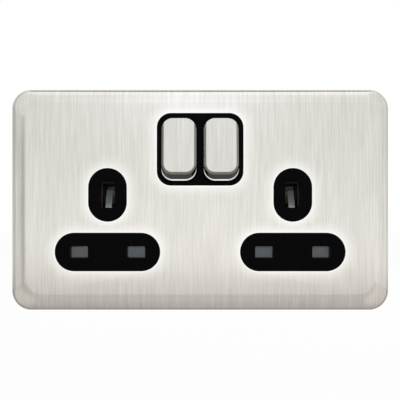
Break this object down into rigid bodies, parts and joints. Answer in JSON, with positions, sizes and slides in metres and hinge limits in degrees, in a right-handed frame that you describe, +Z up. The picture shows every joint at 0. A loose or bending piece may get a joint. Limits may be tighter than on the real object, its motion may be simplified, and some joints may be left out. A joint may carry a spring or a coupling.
{
  "type": "twin switched socket outlet",
  "caption": "Flush twin mains socket outlet for a wall box: steel face plate, black moulding, rocker switches, sprung shutters and rear terminals.",
  "frame": {"origin": "centre of the fixing pattern, on the wall plane at the yoke's rear face", "axes": "+X along the plate's length, +Y into the wall box, +Z up"},
  "size_m": [0.147, 0.0342, 0.086],
  "materials": {
    "plate_steel": "vertically brushed stainless sheet, satin",
    "cap_steel": "vertically brushed, edges brighter",
    "yoke_steel": "zinc plated pressing",
    "black_moulding": "satin moulded black",
    "liner_plastic": "matt black",
    "rear_plastic": "matt black thermoset",
    "rocker_plastic": "satin moulded black",
    "flag_red": "moulded red",
    "plunger_nylon": "natural nylon",
    "retainer_plastic": "matt dark plastic",
    "shutter_grey": "moulded mid grey",
    "spring_steel": "drawn spring wire",
    "copper_strip": "copper, lightly oxidised",
    "brass_strip": "rolled brass strip",
    "contact_silver": "silver contact face",
    "terminal_brass": "drawn brass bar",
    "plated_screw": "zinc plated"
  },
  "bodies": {
    "housing": {"front_moulding": "black_moulding", "mounting_yoke": "yoke_steel", "rear_moulding": "rear_plastic", "housing_screws": "plated_screw", "left_line_conductor": "brass_strip", "left_neutral_conductor": "brass_strip", "left_earth_clip": "brass_strip", "left_shutter_spring": "spring_steel", "left_shutter_retainer": "retainer_plastic", "right_line_conductor": "brass_strip", "right_neutral_conductor": "brass_strip", "right_earth_clip": "brass_strip", "right_shutter_spring": "spring_steel", "right_shutter_retainer": "retainer_plastic", "fixed_contact_tips": "contact_silver", "line_busbar": "brass_strip", "neutral_busbar": "brass_strip", "earth_strap": "brass_strip", "earth_rivets": "copper_strip", "line_terminal": "terminal_brass", "left_earth_terminal": "terminal_brass", "right_earth_terminal": "terminal_brass", "neutral_terminal": "terminal_brass"},
    "faceplate": {"front_plate": "plate_steel", "plate_liner": "liner_plastic"},
    "left_switch": {"left_rocker": "rocker_plastic", "left_rocker_cap": "cap_steel", "left_on_flag": "flag_red", "left_outer_plunger": "plunger_nylon", "left_outer_plunger_spring": "spring_steel", "left_inner_plunger": "plunger_nylon", "left_inner_plunger_spring": "spring_steel"},
    "left_outer_contact": {"left_outer_moving_contact": "copper_strip"},
    "left_inner_contact": {"left_inner_moving_contact": "copper_strip"},
    "left_shutter_body": {"left_shutter": "shutter_grey"},
    "right_switch": {"right_rocker": "rocker_plastic", "right_rocker_cap": "cap_steel", "right_on_flag": "flag_red", "right_outer_plunger": "plunger_nylon", "right_outer_plunger_spring": "spring_steel", "right_inner_plunger": "plunger_nylon", "right_inner_plunger_spring": "spring_steel"},
    "right_outer_contact": {"right_outer_moving_contact": "copper_strip"},
    "right_inner_contact": {"right_inner_moving_contact": "copper_strip"},
    "right_shutter_body": {"right_shutter": "shutter_grey"},
    "line_screw": {"line_terminal_screw": "plated_screw"},
    "left_earth_screw": {"left_earth_terminal_screw": "plated_screw"},
    "right_earth_screw": {"right_earth_terminal_screw": "plated_screw"},
    "neutral_screw": {"neutral_terminal_screw": "plated_screw"}
  },
  "joints": [
    {"name": "faceplate_pull", "type": "slide", "parent": "housing", "child": "faceplate", "axis": [0, -1, 0], "range_m": [0, 0.03]},
    {"name": "left_rocker_hinge", "type": "hinge", "parent": "housing", "child": "left_switch", "pos_m": [-0.0082, -0.005, 0.0192], "axis": [1, 0, 0], "range_deg": [0, 13]},
    {"name": "left_outer_contact_hinge", "type": "hinge", "parent": "housing", "child": "left_outer_contact", "pos_m": [-0.0118, 0.0092, 0.0192], "axis": [1, 0, 0], "range_deg": [-11.7, 0]},
    {"name": "left_inner_contact_hinge", "type": "hinge", "parent": "housing", "child": "left_inner_contact", "pos_m": [-0.0046, 0.0092, 0.0192], "axis": [1, 0, 0], "range_deg": [-11.7, 0]},
    {"name": "left_shutter_slide", "type": "slide", "parent": "housing", "child": "left_shutter_body", "axis": [0, 0, -1], "range_m": [0, 0.006], "stiffness_N_per_m": 100, "springref_m": -0.004, "deforming": ["left_shutter_spring"]},
    {"name": "right_rocker_hinge", "type": "hinge", "parent": "housing", "child": "right_switch", "pos_m": [0.0082, -0.005, 0.0192], "axis": [1, 0, 0], "range_deg": [0, 13]},
    {"name": "right_outer_contact_hinge", "type": "hinge", "parent": "housing", "child": "right_outer_contact", "pos_m": [0.0118, 0.0092, 0.0192], "axis": [1, 0, 0], "range_deg": [-11.7, 0]},
    {"name": "right_inner_contact_hinge", "type": "hinge", "parent": "housing", "child": "right_inner_contact", "pos_m": [0.0046, 0.0092, 0.0192], "axis": [1, 0, 0], "range_deg": [-11.7, 0]},
    {"name": "right_shutter_slide", "type": "slide", "parent": "housing", "child": "right_shutter_body", "axis": [0, 0, -1], "range_m": [0, 0.006], "stiffness_N_per_m": 100, "springref_m": -0.004, "deforming": ["right_shutter_spring"]},
    {"name": "line_screw_travel", "type": "slide", "parent": "housing", "child": "line_screw", "axis": [0, -1, 0], "range_m": [0, 0.004]},
    {"name": "left_earth_screw_travel", "type": "slide", "parent": "housing", "child": "left_earth_screw", "axis": [0, -1, 0], "range_m": [0, 0.004]},
    {"name": "right_earth_screw_travel", "type": "slide", "parent": "housing", "child": "right_earth_screw", "axis": [0, -1, 0], "range_m": [0, 0.004]},
    {"name": "neutral_screw_travel", "type": "slide", "parent": "housing", "child": "neutral_screw", "axis": [0, -1, 0], "range_m": [0, 0.004]}
  ],
  "couplings": [
    {"joint": "left_outer_contact_hinge", "follows": "left_rocker_hinge", "ratio": -0.9},
    {"joint": "left_inner_contact_hinge", "follows": "left_rocker_hinge", "ratio": -0.9},
    {"joint": "right_outer_contact_hinge", "follows": "right_rocker_hinge", "ratio": -0.9},
    {"joint": "right_inner_contact_hinge", "follows": "right_rocker_hinge", "ratio": -0.9}
  ]
}
